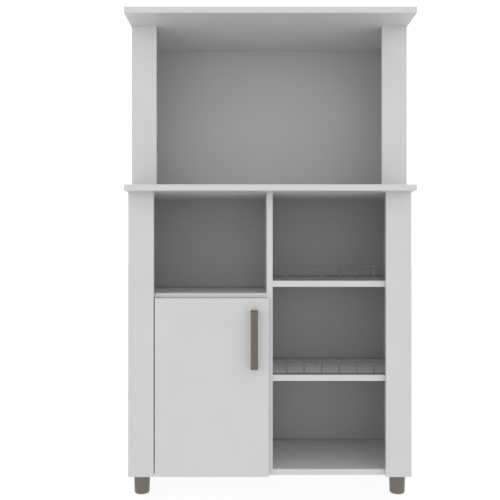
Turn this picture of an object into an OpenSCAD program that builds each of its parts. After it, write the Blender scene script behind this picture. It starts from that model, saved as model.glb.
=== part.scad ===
// Free-standing microwave cabinet. A cupboard with one hinged door and a stack of
// open racks stand under a worktop, and an open hutch for the oven stands on it.
// Origin: on the floor, under the middle of the cabinet. The front is -Y and +Z is up.

/* [Overall size] */
// Width of the worktop and of the top board
cabinet_w = 840; // [760:5:960]
// Depth of the worktop and of the top board
cabinet_d = 395; // [370:5:450]
// Height of the worktop's upper face above the floor
worktop_h = 910; // [860:5:950]
// Height of the hutch, from the worktop's upper face to the top of the cabinet
hutch_h = 509; // [440:1:600]

/* [Boards] */
// Thickness of the carcass boards
board_t = 18; // [16:1:20]
// Thickness of the back panels
back_t = 3; // [2.5:0.5:5]
// Distance from the worktop's rear edge forward to the back panels
back_inset = 1; // [1:0.5:3]
// How far the worktop and the top board stand out past each side
board_overhang = 3; // [2:1:8]

/* [Front trims] */
// Width of the upright front trims
trim_w = 75; // [66:1:85]
// Thickness of the upright front trims
trim_t = 18; // [18:0.5:20]
// Distance from the worktop's front edge back to the lower trims
lower_setback = 56; // [45:1:65]
// Distance from the worktop's front edge back to the hutch's trims
upper_setback = 118; // [90:1:130]

/* [Compartments] */
// Clear height behind the door, between the bottom board and the fixed shelf
cupboard_h = 504; // [460:1:560]
// Clearance at each end of the loose shelf in the cupboard
shelf_clear = 1; // [0.8:0.1:2]
// Pitch of the shelf-pin holes
pin_hole_pitch = 32; // [25:1:32]
// Diameter of the shelf pins
shelf_pin_d = 5; // [4:0.5:6]

/* [Door] */
// Thickness of the door
door_t = 16; // [15:0.5:16.5]
// Gap between the door and the trim on the hinge side
door_gap = 3; // [3:0.1:4]
// How far the door laps the divider
door_lap_side = 6; // [4:0.5:8]
// How far the door laps the fixed shelf above it
door_lap_top = 4; // [2:0.5:12]
// Diameter of the door bumpers
bumper_d = 8; // [6:1:10]

/* [Handle] */
// Length of the handle
handle_l = 172; // [120:1:260]
// Width of the handle's grip, seen from the front
handle_w = 20.5; // [14:0.5:26]
// How far the handle stands out from the door
handle_reach = 29; // [24:1:38]
// Thickness of the handle's grip, front to back
grip_t = 8; // [5:1:10]
// Distance from the door's free edge to the middle of the handle
handle_in = 42.7; // [25:0.1:70]
// Distance from the door's top edge down to the handle's upper end
handle_drop = 35; // [15:1:120]

/* [Hinges] */
// Diameter of the hinge cups
cup_d = 35; // [35:0.5:36]
// Depth of the hinge cups in the door
cup_depth = 12; // [11.5:0.1:13]
// Distance from the door's hinged edge to the middle of a cup
cup_in = 21.5; // [21:0.1:23]
// Distance from the door's ends to the middle of a hinge
hinge_in = 90; // [70:1:140]
// Distance from the door's hinged edge to the hinge pin
pin_in = 18; // [18:0.1:19]
// Distance from the door's front face back to the hinge pin
pin_back = 10; // [9.5:0.1:10]
// Diameter of the hinge pin
pin_d = 3; // [2.5:0.1:3.5]
// Thickness of the hinge arm's strip
arm_t = 2.4; // [1.6:0.1:2.4]
// Height of the hinge arm's strip, up the door
arm_h = 14; // [10:1:14]
// Thickness of the hinge plate on the batten
plate_t = 3; // [2:0.5:3]
// Depth of the upright batten that carries the hinges, front to back
batten_d = 60; // [56:1:80]

/* [Legs] */
// Height of the legs
leg_h = 54; // [40:1:80]
// Diameter of a leg at its top
leg_top_d = 47; // [40:1:50]
// Diameter of a leg near the floor
leg_foot_d = 44; // [38:1:48]
// Wall thickness of a moulded leg near the floor
leg_wall = 7; // [6:0.1:9]
// Distance from a side's outer face to a leg's axis
leg_in = 37; // [30:1:60]
// Distance from the lower trims' front faces, or from the back, to a leg's axis
leg_from_edge = 27.5; // [26:0.5:60]

/* [Wire rails] */
// Diameter of the long wires of a rail
rail_wire_d = 4; // [3:0.5:5]
// Diameter of the upright wires of a rail
post_wire_d = 3; // [2:0.5:4]
// Height of the top wire's axis above the shelf
rail_h = 43; // [30:1:80]
// Height of the bottom wire's axis above the shelf
rail_foot = 4; // [3:0.5:10]
// Pitch of the upright wires
post_pitch = 52; // [30:1:80]
// Distance from the divider to the first upright wire
post_in = 42; // [20:1:60]
// Distance from the shelf's front edge back to the rail's axis
rail_setback = 5; // [3:0.5:20]

/* [Hidden] */
$fn = 48;

// How far a cut runs past the face it opens
cut = 1;
// Gap between a moving piece and what it rests against
rest_gap = 0.3;
// Radial clearance of a fastener in its hole
fastener_clear = 0.1;
// Radial clearance of the hinge arm on its pin
pin_clear = 0.05;

// Fronts, backs and sides of the carcass
half_w = cabinet_w / 2;
front_y = -cabinet_d / 2;
rear_y = cabinet_d / 2;
back_outer_y = rear_y - back_inset;
back_inner_y = back_outer_y - back_t;
side_outer_x = half_w - board_overhang;
side_inner_x = side_outer_x - board_t;
side_mid_x = side_outer_x - board_t / 2;
opening_x = side_outer_x - trim_w;
lower_front_y = front_y + lower_setback;
lower_edge_y = lower_front_y + trim_t;
upper_front_y = front_y + upper_setback;
upper_edge_y = upper_front_y + trim_t;

// Heights
bottom_z = leg_h;
bottom_top_z = bottom_z + board_t;
bottom_mid_z = bottom_z + board_t / 2;
worktop_under_z = worktop_h - board_t;
top_z = worktop_h + hutch_h;
top_under_z = top_z - board_t;
divider_x = board_t / 2;
fixed_under_z = bottom_top_z + cupboard_h;
fixed_mid_z = fixed_under_z + board_t / 2;

// The racks beside the cupboard share the height equally
rack_bays = 3;
rack_clear_h = (worktop_under_z - bottom_top_z - (rack_bays - 1) * board_t) / rack_bays;
lower_rack_z = bottom_top_z + rack_clear_h;
upper_rack_z = lower_rack_z + board_t + rack_clear_h;

// Knock-down fittings. A cam lock sits in the end of one board and draws in a bolt
// that stands in the face of the next one; a wooden dowel beside it takes the shear.
cam_d = 15;
cam_l = 12.5;
cam_back = 24;
cam_under = 0.2;
cam_cross_w = 1.5;
cam_cross_l = 9;
cam_cross_deep = 3;
cam_entry_d = 7.2;
bolt_d = 6;
bolt_neck_d = 3.2;
bolt_head_d = 5.6;
bolt_head_l = 3;
bolt_neck_l = 4.5;
bolt_end_gap = 0.5;
dowel_d = 8;
dowel_l_end = 20;
dowel_bevel = 1;
// Holes from opposite faces of a board never meet: each stops short of the middle
hole_web = 0.5;
face_hole = board_t / 2 - hole_web;
// Fittings along the depth of a board: distance in from its edges, and cam to dowel
lower_fit_in = 61;
upper_fit_in = 50;
dowel_step = 32;
// Fittings up the front edge of a side, in from its ends
lower_trim_fit_in = 150;
upper_trim_fit_in = 120;
// Fittings of the hinge batten: in from its front edge, cam to dowel, and in from its ends
batten_fit_in = 28;
batten_fit_step = 20;
batten_dowel_in = 120;

// Door
door_left_x = -opening_x + door_gap;
door_right_x = -divider_x + door_lap_side;
door_bottom_z = bottom_z;
door_top_z = fixed_under_z + door_lap_top;
door_rear_y = lower_front_y + door_t;
bumper_t = trim_t - door_t - rest_gap;
bumper_in = 1;
bumper_down = 5;
// The boards behind the door are cut back, clear of its hinged edge as it swings
swing_clear = 1.5;
bay_edge_y = lower_front_y + pin_back + norm([pin_in, door_t - pin_back]) + swing_clear;
// Gap over the door's top edge, in the fixed shelf's rebate
rebate_gap = 0.6;

// Handle
handle_x = door_right_x - handle_in;
handle_z = door_top_z - handle_drop - handle_l / 2;
handle_post_l = 12;
handle_corner_r = 6;
handle_inner_r = 5;
handle_edge_r = 3;
handle_screw_at = (handle_l - handle_post_l) / 2;
handle_screw_d = 4;
handle_screw_grip = 12;
handle_screw_head_d = 8;
handle_screw_head_h = 2.4;

// Hinges
hinge_zs = [door_bottom_z + hinge_in, door_top_z - hinge_in];
pin_x = door_left_x + pin_in;
pin_y = lower_front_y + pin_back;
cup_x = door_left_x + cup_in;
cup_wall = 1;
flange_t = 1;
flange_ring = 1.2;
flange_w = 13;
flange_out = 6;
cup_screw_at = 24;
cheek_t = 1.5;
cheek_gap = 1;
cheek_w = 18;
cheek_at = arm_h / 2 + cheek_gap;
cup_screw_d = 3.5;
cup_screw_l = 12;
cup_screw_head_d = 6.5;
cup_screw_head_h = 1.4;
plate_back = 37;
plate_y = lower_edge_y + plate_back;
plate_l = 34;
plate_h = 52;
plate_r = 5;
plate_screw_at = 16;
plate_screw_d = 5;
plate_screw_l = 13;
plate_screw_head_d = 8;
plate_screw_head_h = 2;
channel_h = 8;
channel_wall = 1.5;
channel_wall_z = (arm_h - channel_wall) / 2;
arm_eye_r = 3.4;
arm_screw_at = [-9.5, 10];
arm_screw_d = 5;
arm_screw_head_d = 8;
arm_screw_head_h = 2;
plate_face_x = -opening_x + plate_t;
channel_x = plate_face_x + channel_h - arm_t / 2;
channel_end_y = plate_y + plate_l / 2;
// The strip leaves the pin through the cup's mouth and bends back over the door's edge;
// the bends are given from the pin
arm_mouth = [9, 8];
arm_crest = [11, 17];
arm_turn = [6, 25];
arm_foot_back = 28.5;
pin_at = [pin_x, pin_y];
arm_path = [pin_at, pin_at + arm_mouth, pin_at + arm_crest, pin_at + arm_turn,
            [channel_x, pin_y + arm_foot_back], [channel_x, channel_end_y]];

// Hinge batten, behind the left trim
batten_face_x = -opening_x;
batten_mid_x = batten_face_x - board_t / 2;
batten_rear_y = lower_edge_y + batten_d;

// Loose shelf and its pins
shelf_front_gap = 3;
shelf_rear_gap = 2;
loose_left_x = -side_inner_x + shelf_clear;
loose_right_x = -divider_x - shelf_clear;
loose_front_y = batten_rear_y + shelf_front_gap;
loose_rear_y = back_inner_y - shelf_rear_gap;
pin_hole_z = bottom_top_z + cupboard_h / 2;
pin_hole_count = 5;
pin_hole_in = 40;
pin_hole_ys = [loose_front_y + pin_hole_in, loose_rear_y - pin_hole_in];
loose_under_z = pin_hole_z + shelf_pin_d / 2;
shelf_pin_out = 8;
shelf_pin_collar_d = 8;
shelf_pin_collar_t = shelf_clear - 0.2;

// Legs
leg_xs = side_outer_x - leg_in;
leg_front_y = lower_front_y + leg_from_edge;
leg_rear_y = back_inner_y - leg_from_edge;
leg_foot_r = 5;
leg_web = 14;
leg_web_skin = 6;
leg_boss_d = 18;
leg_boss_hole_d = 12;
leg_boss_lift = 3;
leg_rib_t = 2.4;
leg_rib_lift = 5;
leg_screw_d = 5;
leg_screw_head_d = 9;
leg_screw_head_h = 3;
leg_screw_short = 5;
leg_screw_l = leg_web + board_t - leg_screw_short;

// Wire rails
rail_y = lower_edge_y + rail_setback;
rail_plug = face_hole - bolt_end_gap;
rail_left_x = divider_x - rail_plug;
rail_right_x = side_inner_x + rail_plug;
post_margin = 20;
post_last_x = side_inner_x - post_margin;
weld_sink = 0.6;
post_y = rail_y + (rail_wire_d + post_wire_d) / 2 - weld_sink;

// Nails of the back panels
nail_d = 1.6;
nail_l = 17;
nail_head_d = 5;
nail_head_t = 0.6;
nail_pitch = 150;
nail_end = 30;

// Stations of the fittings. Each is a place on the joint between two boards, the
// direction into the board that holds the cam, and the direction the cam opens.
up = [0, 0, 1];
down = [0, 0, -1];
right = [1, 0, 0];
left = [-1, 0, 0];
inward = [0, 1, 0];

function cam_ys(edge_y, fit_in) = [edge_y + fit_in, back_inner_y - fit_in];
function dowel_ys(edge_y, fit_in) =
    [edge_y + fit_in + dowel_step, back_inner_y - fit_in - dowel_step];
function along_y(ys, x, z, into, opens) = [for (y = ys) [[x, y, z], into, opens]];
function along_z(zs, x, y, into, opens) = [for (z = zs) [[x, y, z], into, opens]];
function flip_x(v) = [-v.x, v.y, v.z];
function mirrored(stations) = [for (s = stations) [flip_x(s[0]), flip_x(s[1]), flip_x(s[2])]];

upper_cam_ys = cam_ys(upper_edge_y, upper_fit_in);
upper_dowel_ys = dowel_ys(upper_edge_y, upper_fit_in);
lower_cam_ys = cam_ys(lower_edge_y, lower_fit_in);
lower_dowel_ys = dowel_ys(lower_edge_y, lower_fit_in);

// Hutch sides under the top board and on the worktop
hutch_top_cams = along_y(upper_cam_ys, -side_mid_x, top_under_z, down, right);
hutch_top_dowels = along_y(upper_dowel_ys, -side_mid_x, top_under_z, down, right);
hutch_foot_cams = along_y(upper_cam_ys, -side_mid_x, worktop_h, up, right);
hutch_foot_dowels = along_y(upper_dowel_ys, -side_mid_x, worktop_h, up, right);
// Lower sides and the divider under the worktop
side_top_cams = along_y(lower_cam_ys, -side_mid_x, worktop_under_z, down, right);
side_top_dowels = along_y(lower_dowel_ys, -side_mid_x, worktop_under_z, down, right);
divider_top_cams = along_y(lower_cam_ys, 0, worktop_under_z, down, right);
divider_top_dowels = along_y(lower_dowel_ys, 0, worktop_under_z, down, right);
divider_foot_cams = along_y(lower_cam_ys, 0, bottom_top_z, up, right);
divider_foot_dowels = along_y(lower_dowel_ys, 0, bottom_top_z, up, right);
// Bottom board between the lower sides
bottom_cams = along_y(lower_cam_ys, -side_inner_x, bottom_mid_z, right, down);
bottom_dowels = along_y(lower_dowel_ys, -side_inner_x, bottom_mid_z, right, down);
// Fixed shelf between the left side and the divider
fixed_side_cams = along_y(lower_cam_ys, -side_inner_x, fixed_mid_z, right, down);
fixed_side_dowels = along_y(lower_dowel_ys, -side_inner_x, fixed_mid_z, right, down);
fixed_divider_cams = along_y(lower_cam_ys, -divider_x, fixed_mid_z, left, down);
fixed_divider_dowels = along_y(lower_dowel_ys, -divider_x, fixed_mid_z, left, down);
// Rack shelves between the divider and the right side
function rack_divider_cams(under_z) =
    along_y(lower_cam_ys, divider_x, under_z + board_t / 2, right, down);
function rack_divider_dowels(under_z) =
    along_y(lower_dowel_ys, divider_x, under_z + board_t / 2, right, down);
function rack_side_cams(under_z) =
    along_y(lower_cam_ys, side_inner_x, under_z + board_t / 2, left, down);
function rack_side_dowels(under_z) =
    along_y(lower_dowel_ys, side_inner_x, under_z + board_t / 2, left, down);
rack_zs = [lower_rack_z, upper_rack_z];
all_rack_divider_cams = [for (z = rack_zs) each rack_divider_cams(z)];
all_rack_divider_dowels = [for (z = rack_zs) each rack_divider_dowels(z)];
all_rack_side_cams = [for (z = rack_zs) each rack_side_cams(z)];
all_rack_side_dowels = [for (z = rack_zs) each rack_side_dowels(z)];
// Front trims on the front edges of the sides
lower_trim_cam_zs = [bottom_z + lower_trim_fit_in, worktop_under_z - lower_trim_fit_in];
lower_trim_dowel_zs = [for (z = lower_trim_cam_zs) z + dowel_step];
upper_trim_cam_zs = [worktop_h + upper_trim_fit_in, top_under_z - upper_trim_fit_in];
upper_trim_dowel_zs = [for (z = upper_trim_cam_zs) z + dowel_step];
lower_trim_cams = along_z(lower_trim_cam_zs, -side_mid_x, lower_edge_y, inward, right);
lower_trim_dowels = along_z(lower_trim_dowel_zs, -side_mid_x, lower_edge_y, inward, right);
upper_trim_cams = along_z(upper_trim_cam_zs, -side_mid_x, upper_edge_y, inward, right);
upper_trim_dowels = along_z(upper_trim_dowel_zs, -side_mid_x, upper_edge_y, inward, right);
// Hinge batten between the bottom board, the fixed shelf and the left trim
batten_cam_y = [lower_edge_y + batten_fit_in];
batten_dowel_y = [lower_edge_y + batten_fit_in + batten_fit_step];
batten_foot_cams = along_y(batten_cam_y, batten_mid_x, bottom_top_z, up, left);
batten_foot_dowels = along_y(batten_dowel_y, batten_mid_x, bottom_top_z, up, left);
batten_head_cams = along_y(batten_cam_y, batten_mid_x, fixed_under_z, down, left);
batten_head_dowels = along_y(batten_dowel_y, batten_mid_x, fixed_under_z, down, left);
batten_trim_zs = [bottom_top_z + batten_dowel_in, fixed_under_z - batten_dowel_in];
batten_trim_dowels = along_z(batten_trim_zs, batten_mid_x, lower_edge_y, inward, left);

all_cams = concat(
    hutch_top_cams, mirrored(hutch_top_cams), hutch_foot_cams, mirrored(hutch_foot_cams),
    side_top_cams, mirrored(side_top_cams), divider_top_cams, divider_foot_cams,
    bottom_cams, mirrored(bottom_cams), fixed_side_cams, fixed_divider_cams,
    all_rack_divider_cams, all_rack_side_cams,
    lower_trim_cams, mirrored(lower_trim_cams), upper_trim_cams, mirrored(upper_trim_cams),
    batten_foot_cams, batten_head_cams);
all_dowels = concat(
    hutch_top_dowels, mirrored(hutch_top_dowels), hutch_foot_dowels,
    mirrored(hutch_foot_dowels), side_top_dowels, mirrored(side_top_dowels),
    divider_top_dowels, divider_foot_dowels, bottom_dowels, mirrored(bottom_dowels),
    fixed_side_dowels, fixed_divider_dowels, all_rack_divider_dowels,
    all_rack_side_dowels, lower_trim_dowels, mirrored(lower_trim_dowels),
    upper_trim_dowels, mirrored(upper_trim_dowels), batten_foot_dowels,
    batten_head_dowels, batten_trim_dowels);

// Nails of the back panels, as places on their rear faces
function nail_steps(from, to) =
    let (n = max(1, round((to - from - 2 * nail_end) / nail_pitch)))
    [for (i = [0 : n]) from + nail_end + i * (to - from - 2 * nail_end) / n];
hutch_nails = [for (x = [-side_mid_x, side_mid_x], z = nail_steps(worktop_h, top_under_z)) [x, z]];
cupboard_nails = concat(
    [for (x = [-side_mid_x, -divider_x / 2], z = nail_steps(bottom_z, worktop_under_z)) [x, z]],
    [for (x = nail_steps(-side_inner_x + nail_end, -divider_x - nail_end),
          z = [bottom_mid_z, fixed_mid_z]) [x, z]]);
rack_nails = concat(
    [for (x = [divider_x / 2, side_mid_x], z = nail_steps(bottom_z, worktop_under_z)) [x, z]],
    [for (x = nail_steps(divider_x + nail_end, side_inner_x - nail_end),
          z = [bottom_mid_z, lower_rack_z + board_t / 2, upper_rack_z + board_t / 2]) [x, z]]);
lower_nails = concat(cupboard_nails, rack_nails);

board_white = [0.90, 0.90, 0.90];
back_white = [0.78, 0.78, 0.77];
taupe = [0.45, 0.42, 0.39];
steel = [0.68, 0.68, 0.69];
beech = [0.80, 0.66, 0.46];
clear_pad = [0.85, 0.86, 0.86];

// ---- Shapes that repeat ----

// A board between two corners
module board(low, high) {
    translate(low) cube(high - low);
}

// A flat outline with round corners
module round_rect(w, h, r) {
    square([w - 2 * r, h], center = true);
    square([w, h - 2 * r], center = true);
    for (x = [-1, 1], y = [-1, 1])
        translate([x * (w / 2 - r), y * (h / 2 - r)]) circle(r);
}

// A flat strip of constant width along a bent path
module strip_path(points, w) {
    for (i = [0 : len(points) - 2]) {
        run = points[i + 1] - points[i];
        translate(points[i]) rotate(atan2(run.y, run.x)) translate([0, -w / 2])
            square([norm(run), w]);
    }
    for (p = points) translate(p) circle(w / 2);
}

// Local +Z points into the board that holds the cam, local +X the way the cam opens
module at_stations(stations) {
    for (s = stations) {
        side = cross(s[1], s[2]);
        multmatrix([[s[2].x, side.x, s[1].x, s[0].x],
                    [s[2].y, side.y, s[1].y, s[0].y],
                    [s[2].z, side.z, s[1].z, s[0].z],
                    [0, 0, 0, 1]])
            children();
    }
}

// Holes in the end of the board that holds the cams
module cam_holes(stations) {
    at_stations(stations) {
        translate([board_t / 2 - cam_l - 2 * cam_under, 0, cam_back]) rotate([0, 90, 0])
            cylinder(h = cam_l + 2 * cam_under + cut, d = cam_d);
        translate([0, 0, -cut])
            cylinder(h = cam_back + cut, d = bolt_d + 2 * fastener_clear);
    }
}

// Holes in the face that the bolts stand in
module bolt_holes(stations) {
    at_stations(stations) translate([0, 0, -face_hole])
        cylinder(h = face_hole + cut, d = bolt_d + 2 * fastener_clear);
}

module dowel_end_holes(stations) {
    at_stations(stations) translate([0, 0, -cut])
        cylinder(h = dowel_l_end + bolt_end_gap + cut, d = dowel_d + 2 * fastener_clear);
}

module dowel_face_holes(stations) {
    at_stations(stations) translate([0, 0, -face_hole])
        cylinder(h = face_hole + cut, d = dowel_d + 2 * fastener_clear);
}

// Nail holes from the rear, through a panel or into the rear edge of a board
module nail_holes(places) {
    for (p = places) translate([p[0], back_outer_y + cut, p[1]]) rotate([90, 0, 0])
        cylinder(h = nail_l + bolt_end_gap + cut, d = nail_d + 2 * fastener_clear);
}

// Rows of holes for the shelf pins, in the face at x, running towards +X or -X
module shelf_pin_holes(x, towards) {
    for (y = pin_hole_ys, i = [0 : pin_hole_count - 1]) {
        step = i - (pin_hole_count - 1) / 2;
        translate([x - towards * cut, y, pin_hole_z + step * pin_hole_pitch])
            rotate([0, towards * 90, 0])
                cylinder(h = face_hole + cut, d = shelf_pin_d + 2 * fastener_clear);
    }
}

// A screw along +Z with its head's seat at the origin, flat under the head or sunk
module screw(len, d, head_d, head_h, sunk) {
    tip = d / 2;
    rotate_extrude()
        if (sunk)
            polygon([[0, 0], [head_d / 2, 0], [d / 2, head_h], [d / 2, len - tip],
                     [tip / 4, len], [0, len]]);
        else
            polygon([[0, -head_h], [head_d / 2 - head_h / 3, -head_h],
                     [head_d / 2, -head_h * 2 / 3], [head_d / 2, 0], [d / 2, 0],
                     [d / 2, len - tip], [tip / 4, len], [0, len]]);
}

// ---- Carcass boards ----

module top_board() {
    color(board_white) difference() {
        board([-half_w, front_y, top_under_z], [half_w, rear_y, top_z]);
        bolt_holes(concat(hutch_top_cams, mirrored(hutch_top_cams)));
        dowel_face_holes(concat(hutch_top_dowels, mirrored(hutch_top_dowels)));
    }
}

module worktop() {
    color(board_white) difference() {
        board([-half_w, front_y, worktop_under_z], [half_w, rear_y, worktop_h]);
        bolt_holes(concat(hutch_foot_cams, mirrored(hutch_foot_cams), side_top_cams,
                          mirrored(side_top_cams), divider_top_cams));
        dowel_face_holes(concat(hutch_foot_dowels, mirrored(hutch_foot_dowels),
                                side_top_dowels, mirrored(side_top_dowels),
                                divider_top_dowels));
    }
}

// The front edge steps back behind the door
module bottom_board() {
    color(board_white) difference() {
        board([-side_inner_x, lower_edge_y, bottom_z],
              [side_inner_x, back_inner_y, bottom_top_z]);
        board([-opening_x, lower_edge_y - cut, bottom_z - cut],
              [-divider_x, bay_edge_y, bottom_top_z + cut]);
        cam_holes(concat(bottom_cams, mirrored(bottom_cams)));
        dowel_end_holes(concat(bottom_dowels, mirrored(bottom_dowels)));
        bolt_holes(concat(divider_foot_cams, batten_foot_cams));
        dowel_face_holes(concat(divider_foot_dowels, batten_foot_dowels));
        nail_holes(lower_nails);
        for (x = [-leg_xs, leg_xs], y = [leg_front_y, leg_rear_y])
            translate([x, y, bottom_z - cut])
                cylinder(h = leg_screw_l - leg_web + bolt_end_gap + cut,
                         d = leg_screw_d + 2 * fastener_clear);
    }
}

// The hutch side on the left; the right one is its mirror image
module hutch_side() {
    color(board_white) difference() {
        board([-side_outer_x, upper_edge_y, worktop_h],
              [-side_inner_x, back_inner_y, top_under_z]);
        cam_holes(concat(hutch_top_cams, hutch_foot_cams, upper_trim_cams));
        dowel_end_holes(concat(hutch_top_dowels, hutch_foot_dowels, upper_trim_dowels));
        nail_holes(hutch_nails);
    }
}

// A lower side as far as both sides are alike
module lower_side_blank() {
    difference() {
        board([-side_outer_x, lower_edge_y, bottom_z],
              [-side_inner_x, back_inner_y, worktop_under_z]);
        cam_holes(concat(side_top_cams, lower_trim_cams));
        dowel_end_holes(concat(side_top_dowels, lower_trim_dowels));
        bolt_holes(bottom_cams);
        dowel_face_holes(bottom_dowels);
    }
}

module lower_side_left() {
    color(board_white) difference() {
        lower_side_blank();
        bolt_holes(fixed_side_cams);
        dowel_face_holes(fixed_side_dowels);
        nail_holes(cupboard_nails);
        shelf_pin_holes(-side_inner_x, -1);
    }
}

module lower_side_right() {
    color(board_white) difference() {
        mirror([1, 0, 0]) lower_side_blank();
        bolt_holes(all_rack_side_cams);
        dowel_face_holes(all_rack_side_dowels);
        nail_holes(rack_nails);
        rail_holes(side_inner_x, 1);
    }
}

// The hutch trim on the left; the right one is its mirror image
module hutch_trim() {
    color(board_white) difference() {
        board([-side_outer_x, upper_front_y, worktop_h],
              [-opening_x, upper_edge_y, top_under_z]);
        bolt_holes(upper_trim_cams);
        dowel_face_holes(upper_trim_dowels);
    }
}

module lower_trim_blank() {
    difference() {
        board([-side_outer_x, lower_front_y, bottom_z],
              [-opening_x, lower_edge_y, worktop_under_z]);
        bolt_holes(lower_trim_cams);
        dowel_face_holes(lower_trim_dowels);
    }
}

module lower_trim_left() {
    color(board_white) difference() {
        lower_trim_blank();
        dowel_face_holes(batten_trim_dowels);
    }
}

module lower_trim_right() {
    color(board_white) mirror([1, 0, 0]) lower_trim_blank();
}

module centre_divider() {
    color(board_white) difference() {
        board([-divider_x, lower_edge_y, bottom_top_z],
              [divider_x, back_inner_y, worktop_under_z]);
        cam_holes(concat(divider_top_cams, divider_foot_cams));
        dowel_end_holes(concat(divider_top_dowels, divider_foot_dowels));
        bolt_holes(concat(fixed_divider_cams, all_rack_divider_cams));
        dowel_face_holes(concat(fixed_divider_dowels, all_rack_divider_dowels));
        nail_holes(lower_nails);
        shelf_pin_holes(-divider_x, 1);
        rail_holes(divider_x, -1);
    }
}

// The front edge is rebated below, where the door laps it
module fixed_shelf() {
    color(board_white) difference() {
        board([-side_inner_x, lower_edge_y, fixed_under_z],
              [-divider_x, back_inner_y, fixed_under_z + board_t]);
        board([-opening_x, lower_edge_y - cut, fixed_under_z - cut],
              [-divider_x + cut, bay_edge_y, door_top_z + rebate_gap]);
        cam_holes(concat(fixed_side_cams, fixed_divider_cams));
        dowel_end_holes(concat(fixed_side_dowels, fixed_divider_dowels));
        bolt_holes(batten_head_cams);
        dowel_face_holes(batten_head_dowels);
        nail_holes(cupboard_nails);
    }
}

module rack_shelf(under_z) {
    color(board_white) difference() {
        board([divider_x, lower_edge_y, under_z],
              [side_inner_x, back_inner_y, under_z + board_t]);
        cam_holes(concat(rack_divider_cams(under_z), rack_side_cams(under_z)));
        dowel_end_holes(concat(rack_divider_dowels(under_z), rack_side_dowels(under_z)));
        nail_holes(rack_nails);
    }
}

module loose_shelf() {
    color(board_white)
        board([loose_left_x, loose_front_y, loose_under_z],
              [loose_right_x, loose_rear_y, loose_under_z + board_t]);
}

module hinge_batten() {
    color(board_white) difference() {
        board([batten_face_x - board_t, lower_edge_y, bottom_top_z],
              [batten_face_x, batten_rear_y, fixed_under_z]);
        cam_holes(concat(batten_foot_cams, batten_head_cams));
        dowel_end_holes(concat(batten_foot_dowels, batten_head_dowels, batten_trim_dowels));
        for (z = hinge_zs, side = [-1, 1])
            translate([batten_face_x + cut, plate_y, z + side * plate_screw_at])
                rotate([0, -90, 0])
                    cylinder(h = plate_screw_l - plate_t + bolt_end_gap + cut,
                             d = plate_screw_d + 2 * fastener_clear);
    }
}

// ---- Back panels ----

module hutch_back() {
    color(back_white) difference() {
        board([-side_outer_x, back_inner_y, worktop_h],
              [side_outer_x, back_outer_y, top_under_z]);
        nail_holes(hutch_nails);
    }
}

module cupboard_back() {
    color(back_white) difference() {
        board([-side_outer_x, back_inner_y, bottom_z], [0, back_outer_y, worktop_under_z]);
        nail_holes(cupboard_nails);
    }
}

module rack_back() {
    color(back_white) difference() {
        board([0, back_inner_y, bottom_z], [side_outer_x, back_outer_y, worktop_under_z]);
        nail_holes(rack_nails);
    }
}

// ---- Door, handle and bumpers ----

// Places a piece at a hinge cup: local +Z leaves the door's rear face
module at_cup(z) {
    translate([cup_x, door_rear_y, z]) rotate([-90, 0, 0]) children();
}

module door() {
    color(board_white) difference() {
        board([door_left_x, lower_front_y, door_bottom_z],
              [door_right_x, door_rear_y, door_top_z]);
        for (z = hinge_zs) at_cup(z) {
            translate([0, 0, -cup_depth]) cylinder(h = cup_depth + cut, d = cup_d);
            for (side = [-1, 1])
                translate([flange_out, side * cup_screw_at, flange_t - cup_screw_l - bolt_end_gap])
                    cylinder(h = cup_screw_l + bolt_end_gap,
                             d = cup_screw_d + 2 * fastener_clear);
        }
        for (side = [-1, 1])
            translate([handle_x, door_rear_y + cut, handle_z + side * handle_screw_at])
                rotate([90, 0, 0])
                    cylinder(h = door_t + 2 * cut, d = handle_screw_d + 2 * fastener_clear);
    }
}

// One moulding: a flat grip that turns back to the door at both ends
module door_handle() {
    color(taupe) translate([handle_x, lower_front_y, handle_z]) difference() {
        intersection() {
            rotate([90, 0, 90]) linear_extrude(handle_w, center = true)
                difference() {
                    round_rect(2 * handle_reach, handle_l, handle_corner_r);
                    round_rect(2 * (handle_reach - grip_t), handle_l - 2 * handle_post_l,
                               handle_inner_r);
                    translate([0, -handle_l]) square([handle_reach + cut, 2 * handle_l]);
                }
            linear_extrude(handle_l + 2 * cut, center = true)
                round_rect(handle_w, 2 * handle_reach, handle_edge_r);
        }
        for (side = [-1, 1])
            translate([0, cut, side * handle_screw_at]) rotate([90, 0, 0])
                cylinder(h = handle_screw_grip + bolt_end_gap + cut,
                         d = handle_screw_d + 2 * fastener_clear);
    }
}

module handle_screws() {
    color(steel) for (side = [-1, 1])
        translate([handle_x, door_rear_y, handle_z + side * handle_screw_at])
            rotate([90, 0, 0])
                screw(door_t + handle_screw_grip, handle_screw_d, handle_screw_head_d,
                      handle_screw_head_h, false);
}

// Soft pads on the free edge; they meet the divider and the bottom board
module door_bumpers() {
    x = door_right_x - bumper_in - bumper_d / 2;
    color(clear_pad)
        for (z = [door_bottom_z + bumper_down + bumper_d / 2,
                  door_top_z - bumper_down - bumper_d / 2])
            translate([x, door_rear_y, z]) rotate([-90, 0, 0]) rotate_extrude()
                polygon([[0, 0], [bumper_d / 2, 0], [bumper_d / 2, bumper_t * 0.6],
                         [bumper_d / 2 - bumper_t * 0.4, bumper_t], [0, bumper_t]]);
}

// ---- Concealed hinges ----

module cup_flange() {
    circle(cup_d / 2 + flange_ring);
    translate([flange_out, 0]) square([flange_w, 2 * cup_screw_at], center = true);
    for (side = [-1, 1]) translate([flange_out, side * cup_screw_at]) circle(flange_w / 2);
}

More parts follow.
